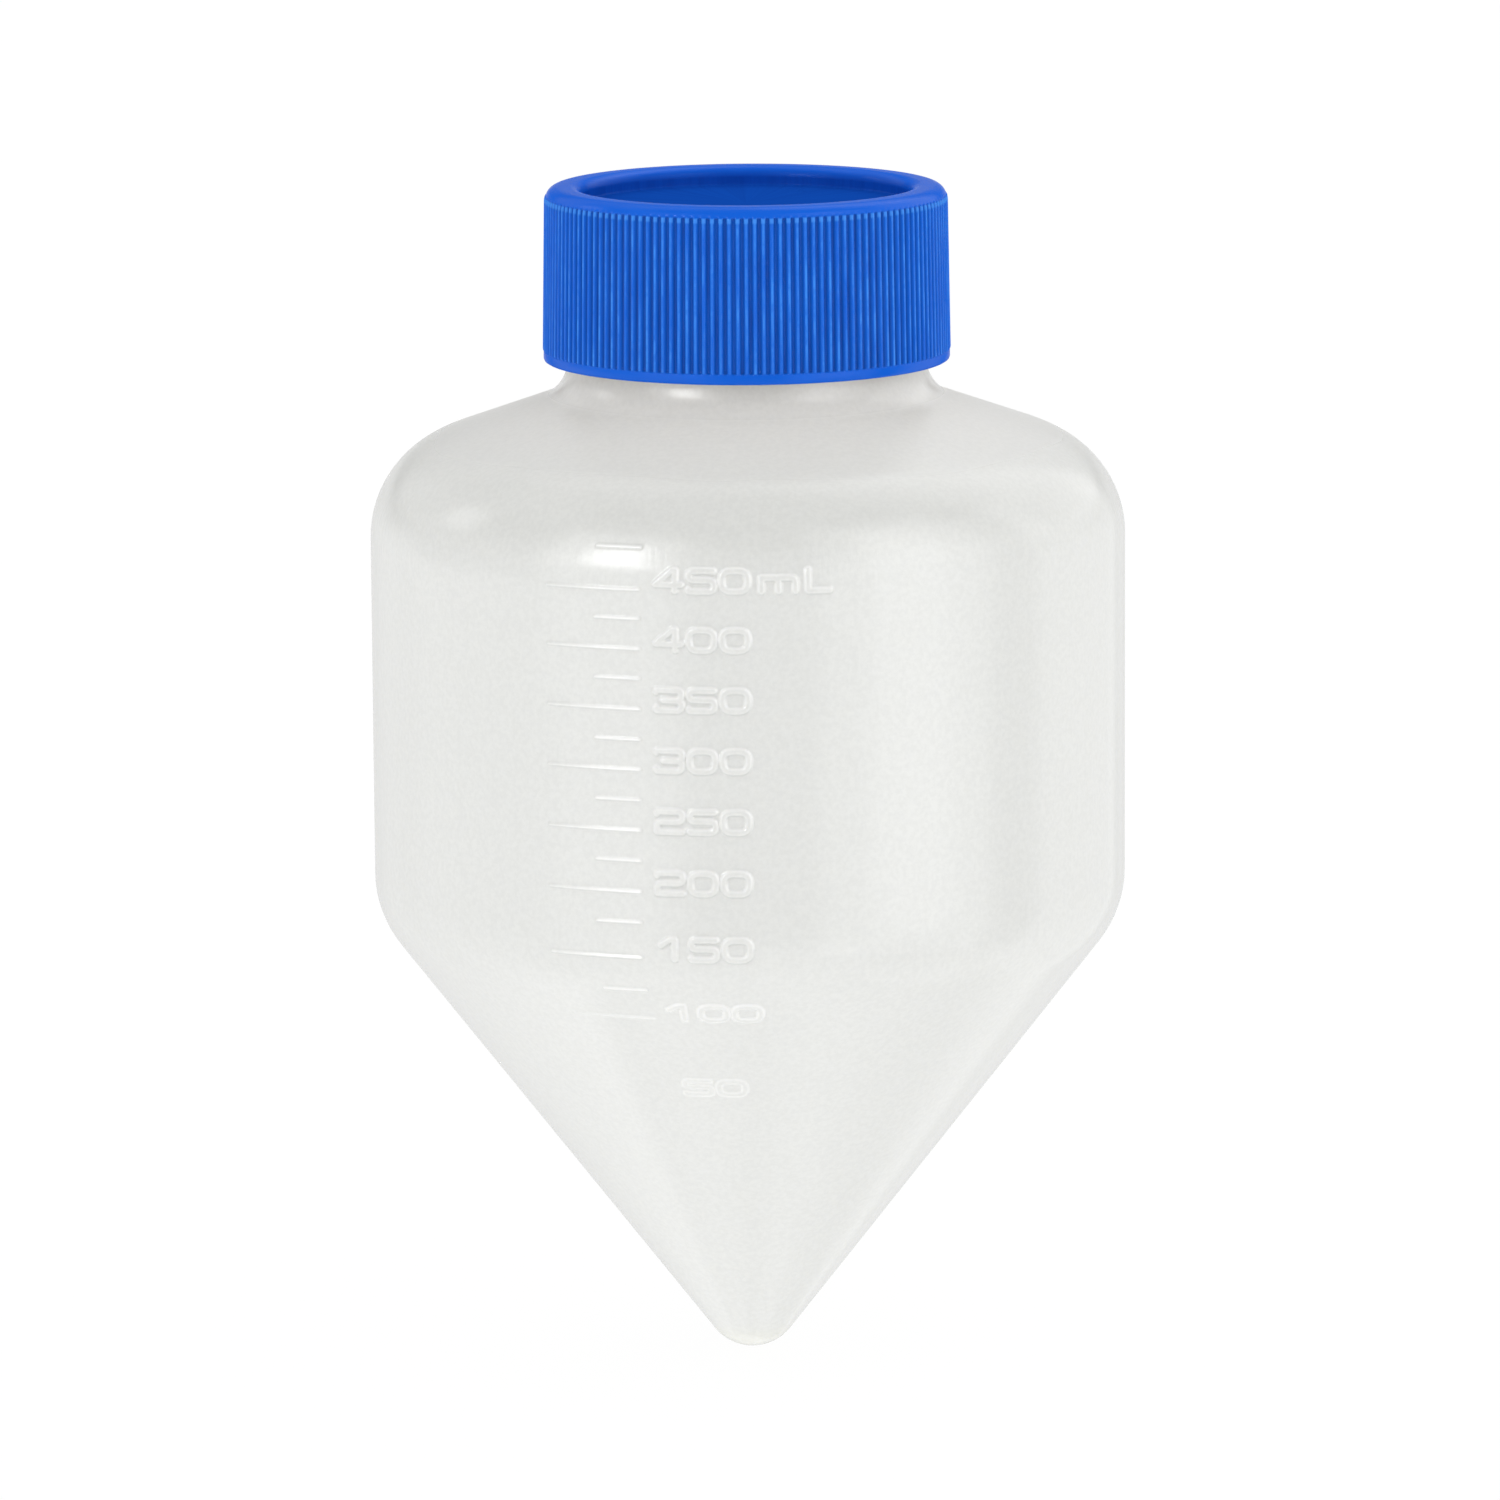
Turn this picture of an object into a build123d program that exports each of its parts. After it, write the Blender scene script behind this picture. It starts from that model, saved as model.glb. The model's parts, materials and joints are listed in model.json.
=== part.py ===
from build123d import *
import os
from math import cos, pi, radians, sin, tan

# 500 mL conical-bottom centrifuge bottle with a ribbed screw cap and a seal ring.
# Millimetres. +Z is up the bottle's axis, the origin is the lowest point of
# the rounded tip, and the graduated side faces -Y.
# Turned profiles are lists of (radius, z) or (radius, z, corner rounding).

# ---- bottle ----
body_r = 48.0             # outside radius of the cylinder
wall = 1.87               # wall of cylinder, cone and shoulder
cone_corner_z = 58.19     # where the cone's line would meet the cylinder
cone_half_angle = 37.673  # degrees from the axis
cone_fillet = 13.48       # rounding between cone and cylinder, outside
tip_r = 6.25              # ball radius of the closed tip, outside
tip_inner_r = 6.0         # ball radius inside, which leaves a thicker tip
shoulder_corner_z = 115.90  # where the shoulder's line would meet the cylinder
shoulder_fillet = 13.83
neck_r = 22.82            # outside of the neck, and root of its thread
neck_corner_z = 124.86    # where the shoulder's line would meet the neck
neck_fillet = 5.14
bore_r = 20.90            # inside of the neck
lip_z = 145.36            # top of the neck
lip_round = 0.55          # outer edge of the lip
lip_chamfer = 0.75        # inner edge of the lip

# ---- threads ----
pitch = 25.4 / 6          # six turns to the inch, right-handed, single start
thread_start = -90        # degrees from +X, so both ridges start on the -Y side
neck_thread_crest_r = 23.95
neck_thread_z0 = 131.60   # centre of the ridge where it starts
neck_thread_turns = 2.25
cap_thread_crest_r = 23.07
cap_thread_z0 = neck_thread_z0 + pitch / 2
cap_thread_turns = 1.5
ridge_root_half = 1.02    # nominal half width at the root
ridge_crest_half = 0.42   # half width of a ridge at its crest
ridge_sink = 0.35         # depth of the root inside its wall
ridge_flare = 0.3         # widening of the sunken root, as a share of one flank's width

# ---- cap ----
cap_z0 = 128.56           # lower edge of the skirt
cap_z1 = 150.65           # top of the crown
rib_count = 150
rib_crest_r = 25.88       # at the foot of the ribs
rib_valley_r = 25.36
rib_draft = 0.33          # radius lost over the full rib height
rib_z0 = 129.92           # ribs stand between these two heights
rib_z1 = 149.50
rib_fade = 0.60           # height over which the ribs run out at the top
rib_top_inset = 0.02      # sleeve's top inside the crown's radius
core_inset = 0.25         # plain wall inside the smallest valley radius
sleeve_bore_gap = 0.4     # sleeve's bore outside the skirt's bore
band_r = 25.78            # plain band below the ribs
band_chamfer = 0.35
crown_r = 25.38           # plain crown above the ribs
crown_round = 1.55
recess_r = 20.80          # sunken centre of the crown
recess_depth = 2.50
recess_lip_round = 1.45
recess_floor_round = 0.35
roof_z = 146.78           # underside of the cap's roof
skirt_bore_r = 24.20
skirt_lead = (0.5, 0.6)   # bevel at the skirt's mouth: radial, vertical
plug_outer_r = 20.72      # hollow plug that enters the neck
plug_inner_r = 19.15
plug_z0 = 142.60
plug_lead = (0.5, 0.9)    # bevel at the plug's foot: radial, vertical

# ---- seal ring ----
seal_inner_r = 20.90
seal_outer_r = 23.85
seal_gap = 0.02           # clearance to the lip below and to the roof above
seal_round = 0.32

# ---- graduations ----
mark_proud = 0.15         # moulded marks stand this far off the wall
mark_sink = 0.5           # and reach this far into it
mark_half = 0.20          # half the thickness of a line at its sunken root
mark_taper = 0.8          # thickness at the face, as a share of the root's
mark_right = -16.3        # ends of the lines, degrees from -Y towards +X
mark_left_minor = -23.1
mark_left_major = -30.9
major_step = 50           # millilitres between the long lines
wall_samples = 400        # points per edge when finding the wall's radius
mark_heights = {          # millilitres: height of the moulded line above the tip
    475: 111.3, 450: 106.2, 425: 102.6, 400: 98.85, 375: 95.15, 350: 91.35,
    325: 87.55, 300: 83.8, 275: 80.0, 250: 76.2, 225: 72.4, 200: 68.5,
    175: 64.65, 150: 60.2, 125: 55.85, 100: 51.7}


# ---- profile helpers ----
def corner(before, point, after):
    """The corner itself if sharp, or start, middle and end of its rounding arc."""
    vertex = Vector(point[0], 0, point[1])
    if len(point) == 2:
        return [vertex]
    rounding = point[2]
    back = (Vector(before[0], 0, before[1]) - vertex).normalized()
    ahead = (Vector(after[0], 0, after[1]) - vertex).normalized()
    bisector = (back + ahead).normalized()
    half_angle = radians(back.get_angle(ahead)) / 2
    setback = rounding / tan(half_angle)
    middle = vertex + bisector * (rounding / sin(half_angle) - rounding)
    return [vertex + back * setback, middle, vertex + ahead * setback]


def rounded_path(points, closed=False):
    """Edges through profile points; an open path has sharp end points."""
    count = len(points)
    corners = [corner(points[i - 1], points[i], points[(i + 1) % count])
               for i in range(count)]
    edges = []
    for i, bend in enumerate(corners):
        if len(bend) == 3:
            edges.append(ThreePointArc(*bend))
        if closed or i < count - 1:
            edges.append(Line(bend[-1], corners[(i + 1) % count][0]))
    return edges


def lathe(edges):
    """Solid of revolution of a closed loop of edges in the XZ plane."""
    return revolve(make_face(Curve() + edges), Axis.Z)


def thread_ridge(wall_r, crest_r, start_z, turns):
    """One right-handed ridge that stands off a wall at wall_r towards crest_r."""
    sink = ridge_sink if crest_r > wall_r else -ridge_sink
    sunken_half = ridge_root_half + (ridge_root_half - ridge_crest_half) * ridge_flare
    helix = Helix(pitch=pitch, height=pitch * turns, radius=wall_r)
    helix = Pos(0, 0, start_z) * (Rot(0, 0, thread_start) * helix)
    start = helix @ 0
    outward = Vector(start.X, start.Y, 0).normalized()
    section = [(wall_r - sink, -sunken_half), (crest_r, -ridge_crest_half),
               (crest_r, ridge_crest_half), (wall_r - sink, sunken_half)]
    loop = [outward * radius + Vector(0, 0, start_z + rise) for radius, rise in section]
    return sweep(make_face(Polyline(*loop, close=True)), path=helix, is_frenet=True)


# ---- bottle ----
def bottle_outline(offset, ball_r, neck_radius):
    """Tip arc, and wall points from tip to neck, of the outline moved inwards by offset."""
    cone = radians(cone_half_angle)
    apex_z = cone_corner_z - body_r / tan(cone) + offset / sin(cone)
    radius = body_r - offset
    cone_top = apex_z + radius / tan(cone)

    rise = neck_corner_z - shoulder_corner_z
    run = body_r - neck_r
    slant = (rise**2 + run**2) ** 0.5
    shoulder_z = shoulder_corner_z - offset * (slant - rise) / run
    neck_z = shoulder_z + (radius - neck_radius) * rise / run

    # three points on the tip's ball, by their angle below the horizontal
    ball_z = apex_z + ball_r / sin(cone)
    tip_arc = [(ball_r * cos(angle), ball_z - ball_r * sin(angle))
               for angle in (pi / 2, pi / 4 + cone / 2, cone)]
    tip_arc[0] = (0.0, ball_z - ball_r)
    wall_points = [
        tip_arc[-1],
        (radius, cone_top, cone_fillet - offset),
        (radius, shoulder_z, shoulder_fillet - offset),
        (neck_radius, neck_z, neck_fillet + offset)]
    return tip_arc, wall_points


def arc_edge(points):
    return ThreePointArc(*[(radius, 0, z) for radius, z in points])


outer_tip, outer_wall = bottle_outline(0.0, tip_r, neck_r)
inner_tip, inner_wall = bottle_outline(wall, tip_inner_r, bore_r)
wall_trace = [edge @ (i / wall_samples)
              for edge in rounded_path(outer_wall + [(neck_r, lip_z)])
              for i in range(wall_samples)]


def wall_at(z):
    """Point on the outside wall at a height, and its upward tangent."""
    for low, high in zip(wall_trace, wall_trace[1:]):
        if low.Z <= z <= high.Z and high.Z > low.Z:
            step = high - low
            return low + step * ((z - low.Z) / step.Z), step.normalized()
    raise ValueError(f"no wall at height {z}")


def graduation(z, left, right):
    """A raised line on the wall, around the axis from left to right."""
    base, upward = wall_at(z)
    outward = Vector(upward.Z, 0, -upward.X)
    face_half = mark_half * mark_taper
    section = [(-mark_sink, -mark_half), (mark_proud, -face_half),
               (mark_proud, face_half), (-mark_sink, mark_half)]
    loop = [base + outward * depth + upward * shift for depth, shift in section]
    face = make_face(Polyline(*loop, close=True))
    return Rot(0, 0, -90 + left) * revolve(face, Axis.Z, revolution_arc=right - left)


def make_bottle():
    lip = [(neck_r, lip_z, lip_round),
           (bore_r + lip_chamfer, lip_z),
           (bore_r, lip_z - lip_chamfer)]
    closing = Line((inner_tip[0][0], 0, inner_tip[0][1]),
                   (outer_tip[0][0], 0, outer_tip[0][1]))
    bottle = lathe([arc_edge(outer_tip),
                    *rounded_path(outer_wall + lip + inner_wall[::-1]),
                    arc_edge(inner_tip[::-1]),
                    closing])
    bottle += thread_ridge(neck_r, neck_thread_crest_r, neck_thread_z0, neck_thread_turns)
    lines = []
    for millilitres, height in mark_heights.items():
        left = mark_left_minor if millilitres % major_step else mark_left_major
        lines.append(graduation(height, left, mark_right))
    return bottle.fuse(*lines).clean()


# ---- cap ----
def fluted_face(z, valley_r, crest_r):
    """Cross-section of the ribbed skirt at a height, one arc for each rib."""
    step = 2 * pi / rib_count
    arcs = []
    for i in range(rib_count):
        middle = i * step
        arcs.append(ThreePointArc(*[
            (radius * cos(angle), radius * sin(angle)) for radius, angle in
            ((valley_r, middle - step / 2), (crest_r, middle), (valley_r, middle + step / 2))]))
    return Pos(0, 0, z) * make_face(Curve() + arcs)


def rib_sleeve():
    """Tapered sleeve whose ribs and grooves fade out together just below the crown."""
    fade_z = rib_z1 - rib_fade
    lost = rib_draft * (fade_z - rib_z0) / (rib_z1 - rib_z0)
    top_r = crown_r - rib_top_inset
    sleeve = loft([fluted_face(rib_z0, rib_valley_r, rib_crest_r),
                   fluted_face(fade_z, rib_valley_r - lost, rib_crest_r - lost),
                   fluted_face(rib_z1, top_r, top_r)], ruled=True)
    # the bore cutter stands 1 mm past both ends
    sleeve -= Pos(0, 0, (rib_z0 + rib_z1) / 2) * Cylinder(
        skirt_bore_r + sleeve_bore_gap, rib_z1 - rib_z0 + 2)
    return sleeve


def make_cap():
    recess_z = cap_z1 - recess_depth
    core_r = rib_valley_r - rib_draft - core_inset   # plain wall hidden behind the ribs
    profile = [
        # roof, recess and crown
        (0, roof_z),
        (0, recess_z),
        (recess_r, recess_z, recess_floor_round),
        (recess_r, cap_z1, recess_lip_round),
        (crown_r, cap_z1, crown_round),
        # outside of the skirt
        (crown_r, rib_z1),
        (core_r, rib_z1),
        (core_r, rib_z0),
        (band_r, rib_z0),
        (band_r, cap_z0 + band_chamfer),
        (band_r - band_chamfer, cap_z0),
        # inside of the skirt
        (skirt_bore_r + skirt_lead[0], cap_z0),
        (skirt_bore_r, cap_z0 + skirt_lead[1]),
        (skirt_bore_r, roof_z),
        # plug
        (plug_outer_r, roof_z),
        (plug_outer_r, plug_z0 + plug_lead[1]),
        (plug_outer_r - plug_lead[0], plug_z0),
        (plug_inner_r, plug_z0),
        (plug_inner_r, roof_z)]
    cap = lathe(rounded_path(profile, closed=True))
    cap += rib_sleeve()
    cap += thread_ridge(skirt_bore_r, cap_thread_crest_r, cap_thread_z0, cap_thread_turns)
    return cap


# ---- seal ring ----
def make_seal():
    bottom = lip_z + seal_gap
    top = roof_z - seal_gap
    profile = [(seal_inner_r, bottom, seal_round), (seal_outer_r, bottom, seal_round),
               (seal_outer_r, top, seal_round), (seal_inner_r, top, seal_round)]
    return lathe(rounded_path(profile, closed=True))


os.makedirs("parts", exist_ok=True)
for name, make in (("bottle", make_bottle), ("screw_cap", make_cap), ("seal_ring", make_seal)):
    export_step(make(), f"parts/{name}.step")
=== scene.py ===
# A milky plastic bottle with a conical lower end, moulded volume marks, a ribbed blue screw cap
# and a seal ring. It stands upright on its rounded tip with its axis on +Z. The marks face -Y,
# where the camera is. Angles round the axis run from -Y towards +X, which is the camera's right.
import bpy
import json
import math
from collections import namedtuple
import numpy as np
from mathutils import Matrix, Vector


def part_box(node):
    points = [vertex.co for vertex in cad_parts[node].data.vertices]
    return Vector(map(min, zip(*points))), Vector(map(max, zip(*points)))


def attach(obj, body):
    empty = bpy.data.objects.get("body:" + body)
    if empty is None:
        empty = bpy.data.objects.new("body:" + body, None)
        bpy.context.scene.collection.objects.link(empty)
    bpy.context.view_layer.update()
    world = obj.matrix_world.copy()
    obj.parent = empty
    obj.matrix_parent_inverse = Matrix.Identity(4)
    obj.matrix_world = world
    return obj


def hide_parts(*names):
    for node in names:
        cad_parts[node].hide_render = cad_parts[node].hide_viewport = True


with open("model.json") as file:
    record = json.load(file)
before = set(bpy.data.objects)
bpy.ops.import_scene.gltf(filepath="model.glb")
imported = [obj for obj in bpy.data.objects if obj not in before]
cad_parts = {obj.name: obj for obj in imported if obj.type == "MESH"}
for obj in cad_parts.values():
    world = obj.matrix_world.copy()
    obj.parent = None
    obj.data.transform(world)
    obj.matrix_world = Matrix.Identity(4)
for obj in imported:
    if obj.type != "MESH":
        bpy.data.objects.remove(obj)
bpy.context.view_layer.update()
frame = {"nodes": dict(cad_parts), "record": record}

# ------------------------------------------------------------------ sizes ----
# Millimetres, unless a name or comment says otherwise. Meshes are scaled to metres when made.
MM = 0.001
PI = math.pi

# From the frame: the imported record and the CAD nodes' boxes.
mounts = {m["name"]: m for m in frame["record"]["mounts"]}
BODY_R = mounts["body_cylinder"]["dims"]["r_mm"]
LIP_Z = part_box("bottle")[1][2] / MM
CAP_Z0, CAP_Z1 = (end[2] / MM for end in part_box("screw_cap"))
SEAL_Z0, SEAL_Z1 = (end[2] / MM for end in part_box("seal_ring"))

# Bottle profile. The Z of the cone, shoulder and neck are those of their sharp corners.
WALL = 1.87
CONE_Z, CONE_ROUND = 58.19, 13.48
CONE_ANGLE = math.radians(37.673)    # between the axis and the cone's side
TIP_R, TIP_INNER_R = 6.25, 6.0
SHOULDER_Z, SHOULDER_ROUND = 115.90, 13.83
NECK_R, NECK_Z, NECK_ROUND, BORE_R = 22.82, 124.86, 5.14, 20.90
LIP_ROUND = 0.55

# Screw threads of the bottle and the cap.
PITCH = 25.4 / 6
THREAD_Z0, THREAD_CREST_R, THREAD_TURNS = 131.60, 23.95, 2.25
CAP_BORE_R, CAP_THREAD_CREST_R, CAP_THREAD_TURNS = 24.20, 23.07, 1.5
RIDGE_ROOT, RIDGE_CREST = 1.02, 0.42    # half widths of a thread's ridge
RIDGE_TAPER = math.radians(26.0)        # turn over which its ends fade
THREAD_ROW_STEP = 0.24


# ------------------------------------------------------------ mesh tools ----
def smooth(x):
    x = np.clip(x, 0.0, 1.0)
    return x * x * (3 - 2 * x)


def even_angles(count, start=0.0):
    return start + 2 * PI / count * np.arange(count)


def turned(radius, z, angles):
    """Points at angles round the axis; radius and z may vary round it."""
    return np.stack([radius * np.sin(angles), -radius * np.cos(angles),
                     np.broadcast_to(z, angles.shape)], -1)


class Shell:
    """Vertices and faces of a turned piece, gathered ring by ring."""

    def __init__(self):
        self.verts, self.faces = [], []

    def add(self, points):
        """Adds points and returns their indices."""
        start = len(self.verts)
        self.verts.extend(points)
        return list(range(start, len(self.verts)))

    def ring(self, radius, z, angles):
        return self.add(turned(radius, z, angles))

    def join(self, rings, flip=False):
        """Joins each ring to the next with quads."""
        for first, second in zip(rings, rings[1:]):
            count = len(first)
            for k in range(count):
                after = (k + 1) % count
                face = [first[k], first[after], second[after], second[k]]
                self.faces.append(face[::-1] if flip else face)

    def stitch(self, fine, coarse, flip=False):
        """Joins a fine ring to a coarser one, several fine edges to each coarse edge."""
        ratio = len(fine) // len(coarse)
        for k, left in enumerate(coarse):
            right = coarse[(k + 1) % len(coarse)]
            for t in range(ratio):
                start, end = fine[k * ratio + t], fine[(k * ratio + t + 1) % len(fine)]
                if t == ratio // 2:
                    self.faces.append([start, left, right] if flip else [start, right, left])
                tip = left if t < ratio // 2 else right
                self.faces.append([end, start, tip] if flip else [start, end, tip])

    def fan(self, ring, z, flip=False):
        """Closes a ring with triangles to a point on the axis."""
        pole = self.add([np.array([0, 0, z])])[0]
        for start, end in zip(ring, ring[1:] + ring[:1]):
            self.faces.append([end, start, pole] if flip else [start, end, pole])

    def build(self, name):
        mesh = bpy.data.meshes.new(name)
        mesh.from_pydata([tuple(v) for v in np.asarray(self.verts) * MM], [], self.faces)
        mesh.validate()
        mesh.update()
        mesh.polygons.foreach_set("use_smooth", [True] * len(mesh.polygons))
        obj = bpy.data.objects.new(name, mesh)
        bpy.context.scene.collection.objects.link(obj)
        return obj


def ridge_height(angles, z, start_z, turns):
    """0 to 1: how far a right-handed thread's ridge stands at an angle and height."""
    base = np.mod(angles, 2 * PI)
    best = np.zeros(np.broadcast(base, z).shape)
    for k in range(int(turns) + 2):
        turn = base + 2 * PI * k
        away = np.abs(z - (start_z + PITCH * turn / (2 * PI)))
        height = smooth((RIDGE_ROOT - away) / (RIDGE_ROOT - RIDGE_CREST))
        height = height * smooth(turn / RIDGE_TAPER)
        height = height * smooth((turns * 2 * PI - turn) / RIDGE_TAPER)
        best = np.maximum(best, height)
    return best


# --------------------------------------------------------- bottle profile ----
def corner(before, at, after, radius):
    """Tangent points and centre of an arc that rounds the corner `at`."""
    before, at, after = (np.array(p, float) for p in (before, at, after))
    back = (before - at) / np.linalg.norm(before - at)
    onward = (after - at) / np.linalg.norm(after - at)
    half = 0.5 * math.acos(float(np.clip(back @ onward, -1, 1)))
    middle = (back + onward) / np.linalg.norm(back + onward)
    reach = radius / math.tan(half)
    return at + back * reach, at + onward * reach, at + middle * radius / math.sin(half)


class Outline:
    """Points along a profile in the (r, z) half plane."""

    def __init__(self, start):
        self.points = [np.array(start, float)]

    def line(self, end, step):
        start, end = self.points[-1], np.array(end, float)
        count = max(1, int(math.ceil(np.linalg.norm(end - start) / step)))
        self.points += [start + (end - start) * i / count for i in range(1, count + 1)]
        return self

    def arc(self, end, centre, step_deg):
        """The shorter arc about the centre."""
        start, end, centre = self.points[-1], np.array(end, float), np.array(centre, float)
        angle0 = math.atan2(*(start - centre)[::-1])
        angle1 = math.atan2(*(end - centre)[::-1])
        radius = np.linalg.norm(start - centre)
        if angle1 - angle0 > PI:
            angle1 -= 2 * PI
        if angle0 - angle1 > PI:
            angle1 += 2 * PI
        count = max(1, int(math.ceil(abs(math.degrees(angle1 - angle0)) / step_deg)))
        for i in range(1, count + 1):
            angle = angle0 + (angle1 - angle0) * i / count
            self.points.append(centre + radius * np.array([math.cos(angle), math.sin(angle)]))
        return self


def bottle_profile(inset, tip_radius, line_step, arc_step_deg):
    """Outline from the tip's pole to the foot of the neck, moved inwards by inset."""
    apex = CONE_Z - BODY_R / math.tan(CONE_ANGLE) + inset / math.sin(CONE_ANGLE)
    body_r = BODY_R - inset
    neck_r = NECK_R if inset == 0 else BORE_R
    slope = math.atan2(NECK_Z - SHOULDER_Z, BODY_R - NECK_R)
    shoulder_z = SHOULDER_Z - inset * (1 - math.sin(slope)) / math.cos(slope)
    neck_z = shoulder_z + (body_r - neck_r) * math.tan(slope)
    tip_centre = apex + tip_radius / math.sin(CONE_ANGLE)
    tip_edge = (tip_radius * math.cos(CONE_ANGLE),
                tip_centre - tip_radius * math.sin(CONE_ANGLE))
    path = [tip_edge, (body_r, apex + body_r / math.tan(CONE_ANGLE)), (body_r, shoulder_z),
            (neck_r, neck_z), (neck_r, LIP_Z)]
    radii = (CONE_ROUND - inset, SHOULDER_ROUND - inset, NECK_ROUND + inset)

    outline = Outline((0.0, tip_centre - tip_radius))
    outline.arc(tip_edge, (0, tip_centre), arc_step_deg * 1.2)
    for before, at, after, radius in zip(path, path[1:], path[2:], radii):
        start, end, centre = corner(before, at, after, radius)
        outline.line(start, line_step).arc(end, centre, arc_step_deg)
    return outline


# -------------------------------------------------- moulded marks on the wall ----
GLYPH_W, GLYPH_H, STROKE = 4.0, 3.35, 0.80
ADVANCE = {"m": 5.75, " ": 0.75}    # the other characters take GLYPH_W + GLYPH_SPACE
GLYPH_SPACE = 0.12

# Volume in mL: height of its line.
MARK_Z = {475: 111.3, 450: 106.2, 425: 102.6, 400: 98.85, 375: 95.15, 350: 91.35, 325: 87.55,
          300: 83.8, 275: 80.0, 250: 76.2, 225: 72.4, 200: 68.5, 175: 64.65, 150: 60.2,
          125: 55.85, 100: 51.7}
NUMBER_Z = {ml: z for ml, z in MARK_Z.items() if ml % 50 == 0}
NUMBER_Z[50] = 40.4
NUMBER_DROP = 0.40       # from a line's height to the foot of its number
LINE_HALF = 0.20         # half width of a line
# Angles of the lines' right end, the short and long lines' left end, and the numbers' left end.
MARK_RIGHT, SHORT_LEFT, LONG_LEFT, TEXT_LEFT = (
    math.radians(a) for a in (-16.3, -23.1, -30.9, -14.2))
MARK_EDGE = 0.15         # half width of the slope at a mark's edge
EDGE_HIGHLIGHT_HALF = 0.272         # half width of the painted highlight along a number's edge
NEAR = 6.0               # margin outside which distances to a mark are skipped


def rounded(points, radius, closed=False):
    """A polyline with its inner corners rounded."""
    points = [np.array(p, float) for p in points]
    count = len(points)
    out = [] if closed else [points[0]]
    for i in range(count) if closed else range(1, count - 1):
        before, at, after = points[i - 1], points[i], points[(i + 1) % count]
        back, onward = np.linalg.norm(before - at), np.linalg.norm(after - at)
        reach = min(radius, back * 0.49, onward * 0.49)
        start, end = at + (before - at) / back * reach, at + (after - at) / onward * reach
        for t in np.linspace(0, 1, 5):
            out.append((1 - t) ** 2 * start + 2 * t * (1 - t) * at + t * t * end)
    out.append(out[0] if closed else points[-1])
    return out


def make_glyphs():
    """Strokes of plain wide characters, as polylines in a box GLYPH_W by GLYPH_H."""
    x0 = y0 = STROKE / 2
    x1, y1 = GLYPH_W - x0, GLYPH_H - y0
    mid = (y0 + y1) / 2
    low = GLYPH_H * 0.74 - y0      # top of the small m
    return {
        "0": [rounded([(x0, y0), (x1, y0), (x1, y1), (x0, y1)], 1.15, closed=True)],
        "1": [[(x0 + 0.35, y1 - 0.75), (x0 + 1.5, y1), (x0 + 2.05, y1)],
              [(x0 + 2.05, y1), (x0 + 2.05, y0)]],
        "2": [rounded([(x0, y1 - 0.35), (x0, y1), (x1, y1), (x1, mid), (x0, mid), (x0, y0)], 0.75),
              [(x0, y0), (x1, y0)]],
        "3": [rounded([(x0, y1 - 0.3), (x0, y1), (x1, y1), (x1, mid), (x0 + 0.9, mid)], 0.8),
              rounded([(x0 + 0.9, mid), (x1, mid), (x1, y0), (x0, y0), (x0, y0 + 0.3)], 0.8)],
        "4": [[(x1 - 0.75, y0), (x1 - 0.75, y1), (x1 - 1.15, y1), (x0, y0 + 0.78),
               (x1, y0 + 0.78)]],
        "5": [rounded([(x1 - 0.15, y1), (x0 + 0.1, y1), (x0, mid + 0.12), (x1, mid + 0.12),
                       (x1, y0), (x0, y0), (x0, y0 + 0.2)], 0.7)],
        "m": [[(x0, y0), (x0, low)],
              rounded([(x0, low), (x0 + 2.1, low), (x0 + 2.1, y0)], 0.7),
              rounded([(x0 + 2.1, low), (x0 + 4.2, low), (x0 + 4.2, y0)], 0.7)],
        "L": [[(x0, y1), (x0, y0), (x0 + 2.7, y0)]],
        " ": [],
    }


def text_strokes(text, glyphs):
    x, strokes = 0.0, []
    for char in text:
        strokes += [[(px + x, py) for px, py in stroke] for stroke in glyphs[char]]
        x += ADVANCE.get(char, GLYPH_W + GLYPH_SPACE)
    return strokes


def distance(points, starts, ends):
    """Distance from each point to the nearest of the segments."""
    best = np.full(len(points), 1e9)
    for start, end in zip(starts, ends):
        run = end - start
        t = np.clip(((points - start) @ run) / max(run @ run, 1e-12), 0, 1)
        best = np.minimum(best, np.linalg.norm(points - start - t[:, None] * run, axis=1))
    return best


# left: angle of the mark's origin; length: the origin's place along the profile;
# radius: the wall's there; starts, ends: segments; half: half stroke width; height: relief.
Mark = namedtuple("Mark", "left length radius starts ends half height")


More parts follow.
